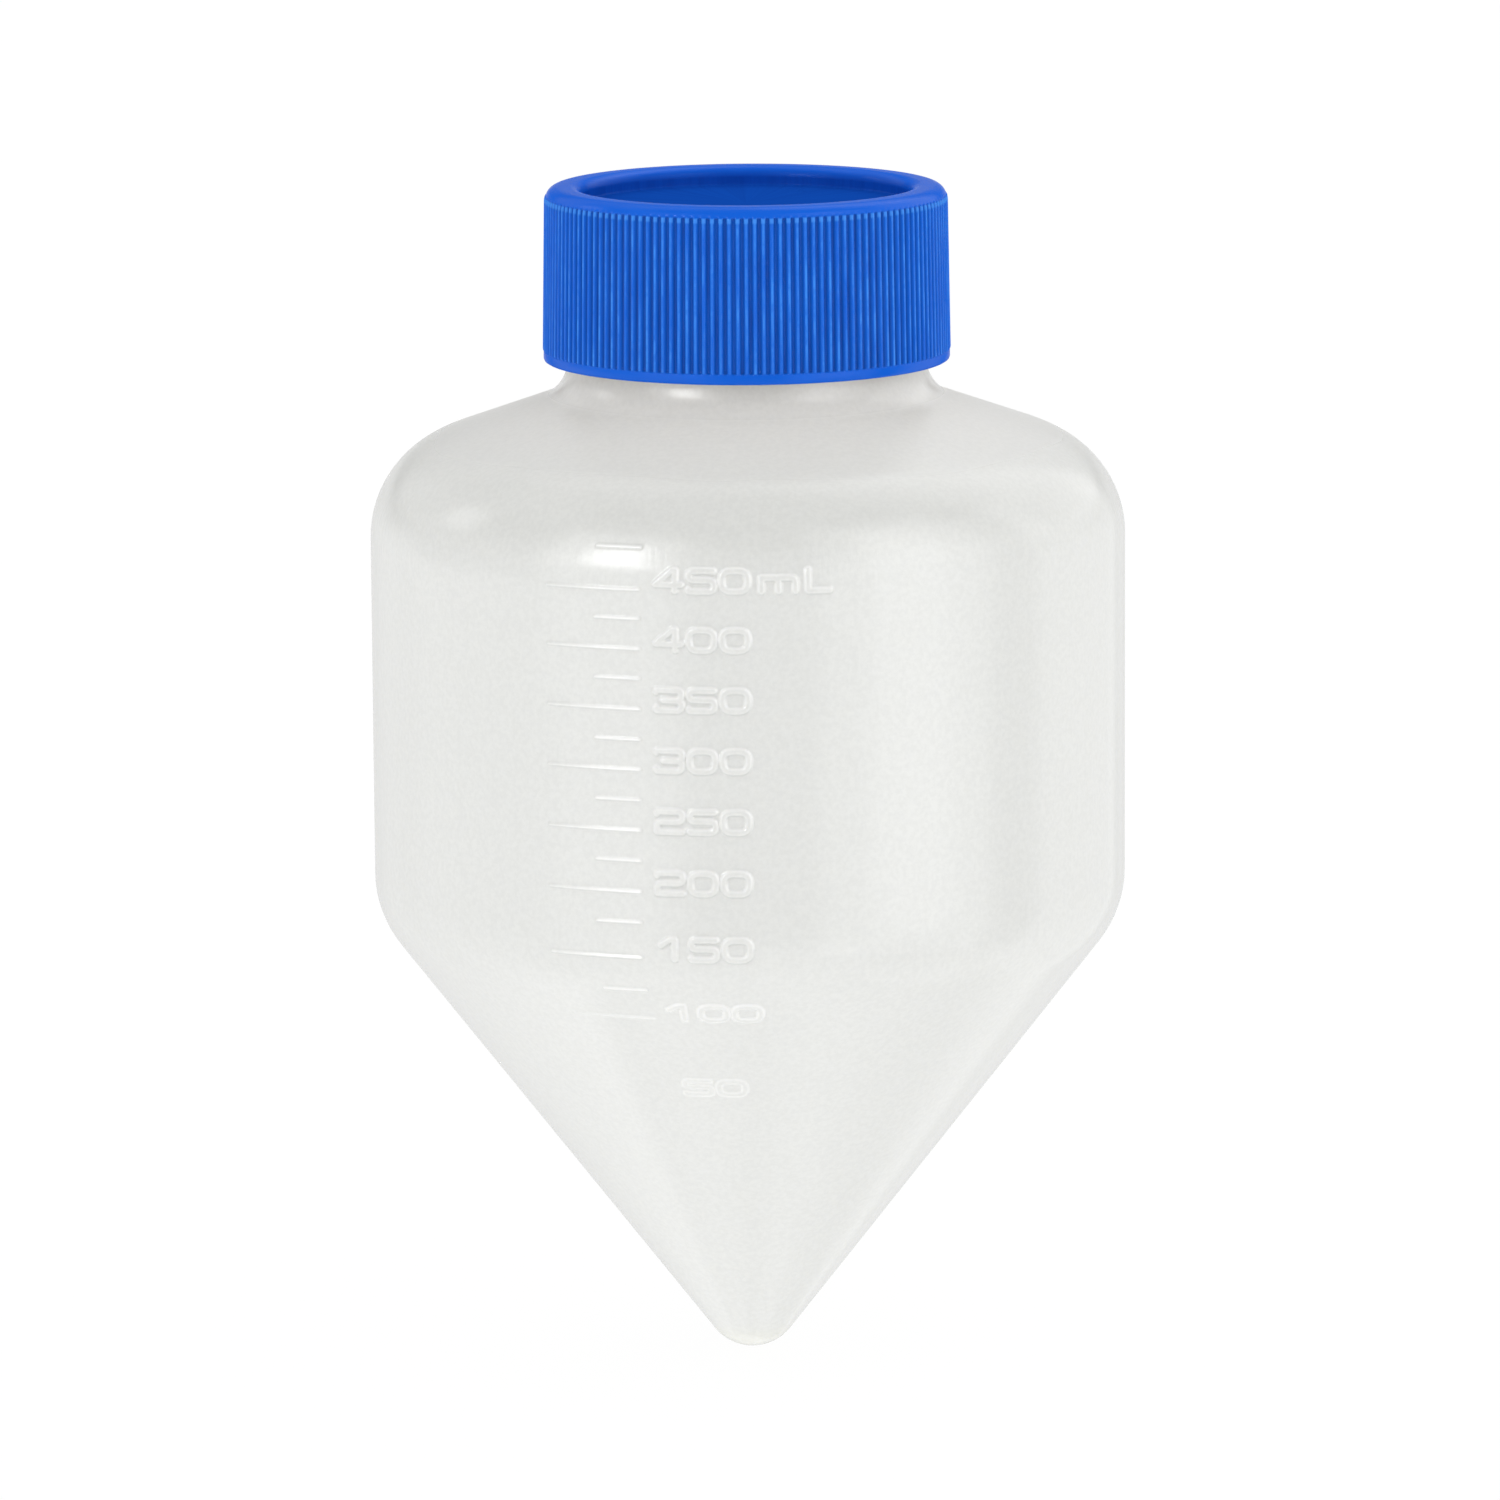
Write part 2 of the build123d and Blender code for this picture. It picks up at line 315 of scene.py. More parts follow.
class Marks:
    """Raised marks on the wall, measured in angle and in length along the profile."""

    def __init__(self, length_at, radius_at):
        self.length_at, self.radius_at, self.items = length_at, radius_at, []
        for ml, z in MARK_Z.items():
            left = LONG_LEFT if ml % 50 == 0 else SHORT_LEFT
            length = length_at(z)
            stroke = [(0.0, 0.0), ((MARK_RIGHT - left) * radius_at(length), 0.0)]
            self.add(left, length, [stroke], LINE_HALF, 0.20 if ml > 100 else 0.07)
        glyphs = make_glyphs()
        for ml, z in NUMBER_Z.items():
            strokes = text_strokes(str(ml) + (" mL" if ml == 450 else ""), glyphs)
            height = 0.30 if ml > 110 else 0.22 if ml > 60 else 0.13
            self.add(TEXT_LEFT, length_at(z) - NUMBER_DROP, strokes, STROKE / 2, height)

    def add(self, left, length, strokes, half, height):
        pairs = [pair for stroke in strokes for pair in zip(stroke, stroke[1:])]
        starts, ends = (np.array(points, float) for points in zip(*pairs))
        self.items.append(Mark(left, length, self.radius_at(length), starts, ends, half, height))

    def distances(self, angles, lengths):
        """Each mark with the distances from the points to its strokes' centre lines."""
        for mark in self.items:
            points = np.stack([(angles - mark.left) * mark.radius, lengths - mark.length], -1)
            corners = np.concatenate([mark.starts, mark.ends])
            near = ((points > corners.min(0) - NEAR) & (points < corners.max(0) + NEAR)).all(1)
            away = np.full(len(angles), 1e9)
            if near.any():
                away[near] = distance(points[near], mark.starts, mark.ends)
            yield mark, away

    def gap(self, angles, lengths):
        """Distance outside the nearest mark's edge; negative on the mark."""
        best = np.full(len(angles), 1e9)
        for mark, away in self.distances(angles, lengths):
            best = np.minimum(best, away - mark.half)
        return best

    def height(self, angles, lengths):
        best = np.zeros(len(angles))
        for mark, away in self.distances(angles, lengths):
            slope = smooth((mark.half + MARK_EDGE - away) / (2 * MARK_EDGE))
            best = np.maximum(best, mark.height * slope)
        return best

    def rim(self, angles, lengths):
        """0 to 1: how close a point is to a mark's edge, where painted highlight and painted shade
        go on the bottle's colour.
        """
        best = np.zeros(len(angles))
        for mark, away in self.distances(angles, lengths):
            if mark.half < STROKE / 2:      # a line gets the painted highlight all over
                rim = smooth((mark.half + 0.12 - away) / 0.18)
            else:
                rim = smooth(1.0 - np.abs(away - mark.half) / EDGE_HIGHLIGHT_HALF)
            best = np.maximum(best, rim * min(1.0, mark.height / 0.2))
        return best


# ---------------------------------------------------------------- bottle ----
COLUMNS = 240
FINE = 8                    # fine steps in one column or row of the wall
ROW_STEP = 1.25
COLUMN_ANGLE = 2 * PI / COLUMNS
MARKED_Z = (38.0, 114.0)    # part of the wall whose cells may be divided
MARKED_ANGLE = (math.radians(-35), math.radians(17))


class BottleWall:
    """The outer wall as a grid of profile rows and columns, with marks and thread raised.

    Columns and rows are given in fine steps; column 0 lies at the back, on +Y."""

    def __init__(self):
        outline = bottle_profile(0.0, TIP_R, line_step=ROW_STEP, arc_step_deg=5.0)
        outline.line((NECK_R, 130.2), 0.6).line((NECK_R, 142.4), THREAD_ROW_STEP)
        outline.line((NECK_R, LIP_Z - LIP_ROUND), 0.7)
        outline.arc((NECK_R - LIP_ROUND, LIP_Z), (NECK_R - LIP_ROUND, LIP_Z - LIP_ROUND), 22)
        self.rows = np.array(outline.points)
        steps = np.linalg.norm(np.diff(self.rows, axis=0), axis=1)
        self.lengths = np.concatenate([[0], np.cumsum(steps)])
        along = np.gradient(self.rows, self.lengths, axis=0)
        along /= np.linalg.norm(along, axis=1)[:, None]
        self.normals = np.stack([along[:, 1], -along[:, 0]], -1)
        self.marks = Marks(lambda z: self.at_height(z, self.lengths),
                           lambda length: float(np.interp(length, self.lengths, self.rows[:, 0])))

    def at_height(self, z, values):
        """Interpolates one value per row at a height below the thread."""
        top = int(np.argmax(self.rows[:, 1] > 128.0))
        return float(np.interp(z, self.rows[:top, 1], values[:top]))

    def at_row(self, rows, values):
        return np.interp(np.asarray(rows) / FINE, np.arange(len(self.rows)), values)

    def locate(self, columns, rows):
        """Angles, and lengths along the profile."""
        return -PI + COLUMN_ANGLE * np.asarray(columns) / FINE, self.at_row(rows, self.lengths)

    def surface(self, columns, rows):
        angles, lengths = self.locate(columns, rows)
        radius, z, normal_r, normal_z = (
            self.at_row(rows, values) for values in (*self.rows.T, *self.normals.T))
        height = self.marks.height(angles, lengths)
        thread = np.zeros(len(angles))
        on = (z > 129.5) & (z < LIP_Z - 1.2)
        thread[on] = ridge_height(angles[on], z[on], THREAD_Z0, THREAD_TURNS)
        radius = radius + normal_r * height + thread * (THREAD_CREST_R - NECK_R)
        return turned(radius, z + normal_z * height, angles)

    def cells(self):
        """Cells (column, row, size), halved near the marks down to one fine step."""
        row_numbers = np.arange(len(self.rows))
        row0 = int(self.at_height(MARKED_Z[0], row_numbers))
        row1 = int(math.ceil(self.at_height(MARKED_Z[1], row_numbers)))
        column0 = int((MARKED_ANGLE[0] + PI) / COLUMN_ANGLE)
        column1 = int(math.ceil((MARKED_ANGLE[1] + PI) / COLUMN_ANGLE))
        done = []
        cells = [(j * FINE, i * FINE, FINE)
                 for j in range(column0, column1) for i in range(row0, row1)]
        while cells:
            column, row, size = np.array(cells).T
            gap = self.marks.gap(*self.locate(column + size / 2, row + size / 2))
            split = (gap < 0.22 + 0.95 * (size / FINE * ROW_STEP)) & (size > 1)
            halved = []
            for (x, y, size), divide in zip(cells, split):
                if divide:
                    half = size // 2
                    halved += [(x, y, half), (x + half, y, half), (x, y + half, half),
                               (x + half, y + half, half)]
                else:
                    done.append((x, y, size))
            cells = halved
        for i in range(1, len(self.rows) - 1):
            for j in range(COLUMNS):
                if not (row0 <= i < row1 and column0 <= j < column1):
                    done.append((j * FINE, i * FINE, FINE))
        return done


def cell_faces(cells):
    """Grid points, their indices by (column, row), and faces; cells with points of smaller
    neighbours on their sides become fans about a centre point."""
    full = COLUMNS * FINE
    points = sorted({(a % full, b) for x, y, size in cells
                     for a, b in ((x, y), (x + size, y), (x + size, y + size), (x, y + size))})
    index = {point: n for n, point in enumerate(points)}
    centres, faces = [], []
    for x, y, size in cells:
        loop = []
        for a, b, dx, dy in ((x, y, 1, 0), (x + size, y, 0, 1),
                             (x + size, y + size, -1, 0), (x, y + size, 0, -1)):
            for k in range(size):
                point = ((a + dx * k) % full, b + dy * k)
                if point in index:
                    loop.append(index[point])
        if len(loop) == 4:
            faces.append(loop)
        else:
            centre = len(points) + len(centres)
            centres.append((x + size / 2, y + size / 2))
            faces += [[start, end, centre] for start, end in zip(loop, loop[1:] + loop[:1])]
    return points + centres, index, faces


def build_bottle():
    wall = BottleWall()
    points, index, faces = cell_faces(wall.cells())
    grid = np.array(points, float).T
    shell = Shell()
    shell.add(wall.surface(*grid))
    shell.faces += faces

    # pole of the tip
    pole = shell.add([np.array([0, 0, wall.rows[0][1]])])[0]
    for j in range(COLUMNS):
        after = (j + 1) % COLUMNS
        shell.faces.append([pole, index[(after * FINE, FINE)], index[(j * FINE, FINE)]])

    # lip and inside, at half as many columns
    inner_angles = even_angles(COLUMNS // 2, -PI)
    inner = bottle_profile(WALL, TIP_INNER_R, line_step=2.4, arc_step_deg=8.0)
    inner_rows = [(BORE_R + 0.75, LIP_Z), (BORE_R + 0.18, LIP_Z - 0.28), (BORE_R, LIP_Z - 0.85),
                  (BORE_R, 141.0), (BORE_R, 136.0), (BORE_R, 132.0)] + inner.points[::-1]
    lip = [index[(j * FINE, (len(wall.rows) - 1) * FINE)] for j in range(COLUMNS)]
    rings = [shell.ring(radius, z, inner_angles) for radius, z in inner_rows[:-1]]
    shell.stitch(lip, rings[0])
    shell.join(rings)
    shell.fan(rings[-1], inner_rows[-1][1])

    obj = shell.build("bottle_shell")
    # closeness to the marks' edges, for the painted highlight and painted shade in the bottle's
    # colour
    rim = np.zeros(len(obj.data.vertices))
    rim[:len(points)] = wall.marks.rim(*wall.locate(*grid))
    obj.data.attributes.new("mark_edge", "FLOAT", "POINT").data.foreach_set("value", rim)
    return obj


# ------------------------------------------------------------------- cap ----
RIBS = 150
# Cross-section of one rib: place in its pitch, and height from valley (0) to crest (1).
RIB_PLACE = np.array([-0.5, -0.335, -0.245, -0.13, 0.0, 0.13, 0.245, 0.335])
RIB_HEIGHT = np.array([0.0, 0.09, 0.66, 0.94, 1.0, 0.94, 0.66, 0.09])
RIB_CREST_R, RIB_VALLEY_R, BAND_R, CROWN_R = 25.88, 25.36, 25.78, 25.38
RIB_Z0, RIB_Z1 = 129.92, 149.50
RIB_DRAFT = 0.33            # by which the ribs lean inwards from foot to top
CROWN_ROUND = 1.55
RECESS_R, RECESS_LIP, RECESS_FILLET, RECESS_DEPTH = 20.80, 1.45, 0.35, 2.50
RECESS_RISE = 0.10          # of the recess floor at the axis
NUB_X, NUB_Y, NUB_HEIGHT = 7.0, 14.0, 0.42
ROOF_Z, PLUG_R, PLUG_IN_R, PLUG_Z0 = 146.78, 20.72, 19.15, 142.60
RECESS_COLUMNS, CAP_INNER_COLUMNS = 300, 240

# Lower edge of the skirt and the band above it: inset from BAND_R, height.
BAND_ROWS = ((0.46, CAP_Z0), (0.26, CAP_Z0 + 0.03), (0.08, CAP_Z0 + 0.14), (0, CAP_Z0 + 0.36),
             (0, CAP_Z0 + 0.8), (0.01, RIB_Z0 - 0.14))
RIB_TOP_DEPTHS = (0.95, 0.72, 0.54, 0.38, 0.25, 0.14, 0.04, -0.06)    # below RIB_Z1
FLOOR_RADII = (20.0, 19.0, 18.0, 17.2, 16.7, 16.45, 16.25, 16.05, 15.85, 15.65, 15.45, 15.25,
               15.05, 14.85, 14.4, 13.0, 11.0, 8.5, 6.0, 4.0, 2.2, 1.0)
# Entry of the bore, then what lies above the thread: bore, roof, plug, roof. Radius, height.
ENTRY_ROWS = ((CAP_BORE_R + 0.62, CAP_Z0), (CAP_BORE_R + 0.30, CAP_Z0 + 0.22),
              (CAP_BORE_R, CAP_Z0 + 0.75))
ROOF_ROWS = (
    (CAP_BORE_R, 144.6), (CAP_BORE_R, ROOF_Z - 0.3), (CAP_BORE_R - 0.09, ROOF_Z - 0.09),
    (CAP_BORE_R - 0.3, ROOF_Z), (PLUG_R + 0.25, ROOF_Z), (PLUG_R + 0.07, ROOF_Z - 0.07),
    (PLUG_R, ROOF_Z - 0.25), (PLUG_R, PLUG_Z0 + 0.95), (PLUG_R - 0.12, PLUG_Z0 + 0.5),
    (PLUG_R - 0.38, PLUG_Z0 + 0.1), (PLUG_R - 0.62, PLUG_Z0), (PLUG_IN_R + 0.3, PLUG_Z0),
    (PLUG_IN_R + 0.08, PLUG_Z0 + 0.08), (PLUG_IN_R, PLUG_Z0 + 0.3), (PLUG_IN_R, ROOF_Z - 0.4),
    (PLUG_IN_R - 0.12, ROOF_Z - 0.12), (PLUG_IN_R - 0.4, ROOF_Z), (15.0, ROOF_Z),
    (10.0, ROOF_Z), (5.0, ROOF_Z), (1.6, ROOF_Z))


def rib_draft(z):
    return RIB_DRAFT * (z - RIB_Z0) / (RIB_Z1 - RIB_Z0)


def crown_radius(z):
    rise = max(z - (CAP_Z1 - CROWN_ROUND), 0.0)
    return CROWN_R - CROWN_ROUND + math.sqrt(max(CROWN_ROUND ** 2 - rise ** 2, 0.0))


def cap_skirt(shell, angles):
    """Outer side from the lower edge to the top of the crown's rounding."""
    rib = np.tile(RIB_HEIGHT, RIBS)
    relief = RIB_CREST_R - RIB_VALLEY_R
    rings = [shell.ring(BAND_R - inset, z, angles) for inset, z in BAND_ROWS]

    # foot of the ribs
    foot_r = BAND_R - 0.02
    for t in (0.0, 0.35, 0.7, 1.0):
        radius = foot_r + (RIB_VALLEY_R + relief * rib - foot_r) * smooth(t)
        rings.append(shell.ring(radius, RIB_Z0 - 0.10 + 0.26 * t, angles))
    for z in np.linspace(RIB_Z0 + 0.6, RIB_Z1 - 1.3, 9):
        rings.append(shell.ring(RIB_VALLEY_R - rib_draft(z) + relief * rib, z, angles))

    # rounded rib tops that die into the crown
    for depth in RIB_TOP_DEPTHS:
        z = RIB_Z1 - depth
        crown = crown_radius(z)
        t = min(max((z - (RIB_Z1 - 0.80)) / 0.80, 0.0), 1.0)
        drop = 1 - math.sqrt(max(1 - t * t, 0.0))
        fill = smooth((z - (RIB_Z1 - 0.34)) / 0.34)
        crest, valley = RIB_CREST_R - rib_draft(z), RIB_VALLEY_R - rib_draft(z)
        high = crest + (crown - crest) * drop
        low = valley + (crown - valley) * fill
        rings.append(shell.ring(low + (high - low) * rib, z, angles))

    # rounding of the crown
    rise = RIB_Z1 - RIB_TOP_DEPTHS[-1] - (CAP_Z1 - CROWN_ROUND)
    start = math.asin(min(1.0, rise / CROWN_ROUND))
    for a in np.linspace(start, PI / 2, 8)[1:]:
        rings.append(shell.ring(CROWN_R - CROWN_ROUND + CROWN_ROUND * math.cos(a),
                                CAP_Z1 - CROWN_ROUND + CROWN_ROUND * math.sin(a), angles))
    shell.join(rings)
    return rings


def cap_top(shell, edge, start_angle):
    """Flat rim and sunken centre, with a small nub on the recess floor."""
    angles = even_angles(RECESS_COLUMNS, start_angle)
    rings = [shell.ring(CROWN_R - CROWN_ROUND - 0.35, CAP_Z1, angles)]
    shell.stitch(edge, rings[0])
    lip_r = RECESS_R + RECESS_LIP
    rings.append(shell.ring(lip_r + 0.25, CAP_Z1, angles))
    for a in np.linspace(0, PI / 2, 9):
        rings.append(shell.ring(lip_r - RECESS_LIP * math.sin(a),
                                CAP_Z1 - RECESS_LIP + RECESS_LIP * math.cos(a), angles))
    floor_z = CAP_Z1 - RECESS_DEPTH
    for a in np.linspace(0, PI / 2, 5):
        rings.append(shell.ring(RECESS_R - RECESS_FILLET * (1 - math.cos(a)),
                                floor_z + RECESS_FILLET * (1 - math.sin(a)), angles))
    for radius in FLOOR_RADII:
        points = turned(radius, floor_z, angles)
        away = np.hypot(points[:, 0] - NUB_X, points[:, 1] - NUB_Y)
        points[:, 2] += NUB_HEIGHT * smooth((0.62 - away) / 0.5)
        points[:, 2] += RECESS_RISE * (1.0 - smooth((radius - 4) / 12.0))
        rings.append(shell.add(points))
    shell.join(rings)
    shell.fan(rings[-1], floor_z + RECESS_RISE)


def cap_inside(shell, edge, start_angle):
    """Bore with its thread, roof and plug, then the underside of the skirt."""
    angles = even_angles(CAP_INNER_COLUMNS, start_angle)
    rings = [shell.ring(radius, z, angles) for radius, z in ENTRY_ROWS]
    for z in np.arange(130.2, 142.3, THREAD_ROW_STEP):
        height = ridge_height(angles, z, THREAD_Z0 + PITCH / 2, CAP_THREAD_TURNS)
        radius = CAP_BORE_R - height * (CAP_BORE_R - CAP_THREAD_CREST_R)
        rings.append(shell.ring(radius, z, angles))
    rings += [shell.ring(radius, z, angles) for radius, z in ROOF_ROWS]
    shell.join(rings, flip=True)
    shell.fan(rings[-1], ROOF_Z, flip=True)
    shell.stitch(edge, rings[0], flip=True)


def build_cap():
    step = 2 * PI / RIBS
    angles = np.repeat(np.arange(RIBS), len(RIB_PLACE)) * step + np.tile(RIB_PLACE, RIBS) * step
    shell = Shell()
    skirt = cap_skirt(shell, angles)
    cap_top(shell, skirt[-1], angles[0])
    cap_inside(shell, skirt[0], angles[0])
    return shell.build("cap_shell")


# ------------------------------------------------------------- seal ring ----
SEAL_INNER_R, SEAL_OUTER_R, SEAL_ROUND = 20.90, 23.85, 0.32


def build_seal():
    angles = even_angles(180)
    inner, outer = SEAL_INNER_R + SEAL_ROUND, SEAL_OUTER_R - SEAL_ROUND
    low, high = SEAL_Z0 + SEAL_ROUND, SEAL_Z1 - SEAL_ROUND
    corners = [(x + SEAL_ROUND * math.cos(a), z + SEAL_ROUND * math.sin(a))
               for x, z, start in ((outer, low, -PI / 2), (outer, high, 0.0),
                                   (inner, high, PI / 2), (inner, low, PI))
               for a in np.linspace(start, start + PI / 2, 5)]
    # a shallow groove round each flat
    upper = [(r, SEAL_Z1 - 0.07 * math.exp(-((r - 22.3) / 0.35) ** 2))
             for r in np.linspace(outer - 0.2, inner + 0.2, 9)]
    lower = [(r, SEAL_Z0 + 0.09 * math.exp(-((r - 21.9) / 0.45) ** 2))
             for r in np.linspace(inner + 0.2, outer - 0.2, 9)]
    section = corners[:10] + upper + corners[10:] + lower
    shell = Shell()
    rings = [shell.ring(radius, z, angles) for radius, z in section]
    shell.join(rings + rings[:1])
    return shell.build("seal_gasket")


# ----------------------------------------------------------- shader tools ----
class ShaderNet:
    """Builds the nodes of a material or world. Inputs may be sockets, numbers or colours."""

    def __init__(self, owner):
        owner.use_nodes = True
        self.tree = owner.node_tree
        self.tree.nodes.clear()

    def feed(self, socket, value):
        if isinstance(value, bpy.types.NodeSocket):
            self.tree.links.new(value, socket)
        elif isinstance(value, tuple):      # colours get an alpha of 1
            socket.default_value = value + (1.0,) * (len(socket.default_value) - len(value))
        else:
            socket.default_value = value

    def node(self, kind, inputs=None, **settings):
        made = self.tree.nodes.new("ShaderNode" + kind)
        for name, value in settings.items():
            setattr(made, name, value)
        for key, value in (inputs or {}).items():
            self.feed(made.inputs[key], value)
        return made

    def math(self, operation, *values):
        return self.node("Math", dict(enumerate(values)), operation=operation).outputs[0]

    def add(self, first, second):
        return self.math("ADD", first, second)

    def mul(self, product, *factors):
        for factor in factors:
            product = self.math("MULTIPLY", product, factor)
        return product

    def ramp(self, value, span, to=(0.0, 1.0), kind="SMOOTHSTEP"):
        """Maps the span of a value to the range `to`."""
        inputs = {"Value": value, "From Min": span[0], "From Max": span[1],
                  "To Min": to[0], "To Max": to[1]}
        return self.node("MapRange", inputs, interpolation_type=kind).outputs["Result"]

    def rise(self, value, start, end):
        return self.ramp(value, (start, end))

    def fall(self, value, start, end):
        return self.ramp(value, (start, end), to=(1.0, 0.0))

    def band(self, value, rise, fall):
        """1 between a rising and a falling edge."""
        return self.mul(self.rise(value, *rise), self.fall(value, *fall))

    def mix(self, amount, base, other, blend="MIX"):
        inputs = {0: amount, 6: base, 7: other}
        return self.node("Mix", inputs, data_type="RGBA", blend_type=blend).outputs[2]

    def noise(self, vector, scale, detail=3.0, rough=0.5):
        inputs = {"Vector": vector, "Scale": scale, "Detail": detail, "Roughness": rough}
        return self.node("TexNoise", inputs).outputs["Fac"]

    def bump(self, height, strength, distance):
        return self.node("Bump", {"Strength": strength, "Distance": distance, "Height": height})

    def coords(self, kind):
        return self.node("TexCoord").outputs[kind]

    def split(self, vector):
        return self.node("SeparateXYZ", {0: vector}).outputs

    def combine(self, x, y, z):
        return self.node("CombineXYZ", {0: x, 1: y, 2: z}).outputs[0]

    def radius(self, x, y):
        return self.math("SQRT", self.add(self.mul(x, x), self.mul(y, y)))

    def angle(self, x, y):
        """Angle round +Z from -Y towards +X, in radians."""
        return self.math("ARCTAN2", x, self.mul(y, -1.0))

    def blend(self, amount, first, second):
        return self.node("MixShader", {0: amount, 1: first, 2: second}).outputs[0]

    def finish(self, shader, kind="OutputMaterial"):
        self.node(kind, {"Surface": shader})


# -------------------------------------------------------------- materials ----
# Heights, radii and bump distances in the materials are in metres.
def bottle_colour(net, pos, z, angle):
    """Milky, cooler in the body, warmer at the tip, with faint flow clouds. Painted shade darkens
    the shoulder, painted light makes the neck lighter (it is also warmer), and painted highlight
    and painted shade sit on the marks' edges.
    """
    cloud_tints = (0.794, 0.800, 0.780), (0.806, 0.812, 0.792)
    # the shoulder colour is a painted shade; the neck colour is lighter by painted light, and
    # warmer
    shoulder, neck, tip = (0.755, 0.760, 0.738), (0.875, 0.866, 0.845), (0.815, 0.820, 0.775)
    speck_dark, speck_light = (0.977,) * 3, (1.023,) * 3
    edge_highlight, edge_shade = (0.985, 0.985, 0.97), (0.60, 0.605, 0.59)

    cloud = net.noise(pos, scale=26.0)
    colour = net.mix(net.ramp(cloud, (0.2, 0.8), kind="LINEAR"), *cloud_tints)
    # painted shade: a darker band across the shoulder
    shoulder_shade_band = net.band(z, rise=(0.1080, 0.1130), fall=(0.1165, 0.1200))
    colour = net.mix(shoulder_shade_band, colour, shoulder)
    # painted light: the neck is lighter, standing in for light that comes through the thin wall;
    # it is also warmer
    colour = net.mix(net.rise(z, 0.116, 0.126), colour, neck)
    colour = net.mix(net.rise(z, 0.0045, 0.0015), colour, tip)
    # fine flow speckle
    fleck = net.noise(pos, scale=1500.0, detail=2.0, rough=0.6)
    colour = net.mix(net.ramp(fleck, (0.35, 0.65), kind="LINEAR"),
                     net.mix(1.0, colour, speck_dark, blend="MULTIPLY"),
                     net.mix(1.0, colour, speck_light, blend="MULTIPLY"))
    # painted highlight on the marks' thin edges where they lean up, painted shade where they lean
    # down
    edge = net.node("Attribute", attribute_name="mark_edge").outputs["Fac"]
    across = (math.radians(-31.5), math.radians(-19))
    # the painted highlight is strongest at the marks' right ends and fades to the left
    clear = net.mul(edge, net.ramp(angle, across, to=(0.20, 0.78)))
    normal_z = net.split(net.node("NewGeometry").outputs["Normal"])[2]
    cone_lean = net.ramp(z, (0.0500, 0.0630), to=(-0.7915, 0.0))
    lean = net.math("SUBTRACT", normal_z, cone_lean)
    upward = net.rise(lean, -0.22, 0.16)
    downward = net.fall(lean, -0.60, -0.16)
    colour = net.mix(net.mul(clear, upward), colour, edge_highlight)
    return net.mix(net.mul(edge, downward, 0.55), colour, edge_shade)


def bottle_material():
    mat = bpy.data.materials.new("natural_polypropylene")
    net = ShaderNet(mat)
    pos = net.coords("Object")
    x, y, z = net.split(pos)
    radius = net.radius(x, y)
    angle = net.angle(x, y)
    colour = bottle_colour(net, pos, z, angle)

    # shallow draw lines that run up the wall, strongest below the shoulder, over soft waves
    around = net.combine(net.mul(angle, 0.048), net.mul(z, 0.09), radius)
    lines = net.noise(around, scale=1500.0, detail=2.0, rough=0.55)
    wave = net.noise(pos, scale=45.0, detail=1.0, rough=0.4)
    line_bump = net.bump(lines, strength=0.25, distance=0.00003)
    strongest = net.band(z, rise=(0.1035, 0.1065), fall=(0.1110, 0.1150))
    net.feed(line_bump.inputs["Strength"], net.add(net.mul(strongest, 0.75), 0.22))
    wave_bump = net.bump(wave, strength=0.3, distance=0.0002)
    net.feed(wave_bump.inputs["Normal"], line_bump.outputs[0])

    # glossy, with a satin shoulder
    rough = net.ramp(wave, (0.2, 0.8), to=(0.10, 0.13), kind="LINEAR")
    satin = net.band(z, rise=(0.1110, 0.1220), fall=(0.1236, 0.1256))
    plastic = net.node("BsdfPrincipled", {
        "Base Color": colour,
        "Normal": wave_bump.outputs[0],
        "Roughness": net.add(rough, net.mul(satin, 0.20)),
        "IOR": 1.49,
        "Subsurface Weight": 0.6,
        "Subsurface Radius": (1.0, 0.98, 0.92),
        "Subsurface Scale": 0.0007,
    })
    net.finish(plastic.outputs[0])
    return mat


def rib_colour(net, colour, pos, z, radius, angle):
    """Painted shade in the grooves between the ribs, painted highlights on the crests and rib
    tops.
    """
    # the groove colour is a painted shade; the crest and top colours are painted highlights
    groove_shade_blue, crest_highlight_blue, rib_top_highlight_blue = (
        (0.0022, 0.066, 0.450), (0.040, 0.270, 0.930), (0.055, 0.300, 0.930))
    # radius with the ribs' lean taken out
    above_foot = net.math("SUBTRACT", z, RIB_Z0 * MM)
    level = net.add(radius, net.mul(above_foot, RIB_DRAFT / (RIB_Z1 - RIB_Z0)))
    ribs = net.band(z, rise=((RIB_Z0 - 0.2) * MM, (RIB_Z0 + 0.1) * MM),
                    fall=((RIB_Z1 - 0.25) * MM, (RIB_Z1 + 0.1) * MM))
    # painted shade in the grooves, patchy along them
    low = net.fall(level, (RIB_VALLEY_R + 0.02) * MM, (RIB_CREST_R - 0.16) * MM)
    groove = net.mul(ribs, low)
    around = net.combine(net.mul(angle, 0.0259), net.mul(z, 0.10), 0.0)
    streak = net.noise(around, scale=900.0, detail=2.0, rough=0.6)
    depth = net.ramp(streak, (0.3, 0.7), to=(0.80, 0.35))
    colour = net.mix(net.mul(groove, depth), colour, groove_shade_blue)

    # painted highlight along the rib crests, broken up in patches and streaks
    crest = net.mul(ribs, net.rise(level, (RIB_CREST_R - 0.10) * MM, RIB_CREST_R * MM))
    highlight_breakup = net.noise(pos, scale=420.0, rough=0.6)
    crest_highlight_amount = net.mul(net.ramp(highlight_breakup, (0.35, 0.65), to=(0.45, 1.0)),
                     net.ramp(streak, (0.30, 0.68), to=(0.10, 1.0)))
    colour = net.mix(net.mul(crest, crest_highlight_amount), colour, crest_highlight_blue)

    # painted highlight on the rounded tops of the ribs
    tops = net.band(z, rise=((RIB_Z1 - 0.95) * MM, (RIB_Z1 - 0.55) * MM),
                    fall=((RIB_Z1 - 0.30) * MM, (RIB_Z1 - 0.05) * MM))
    high = net.rise(level, (RIB_CREST_R - 0.30) * MM, (RIB_CREST_R - 0.14) * MM)
    return net.mix(net.mul(tops, high, 0.75), colour, rib_top_highlight_blue)


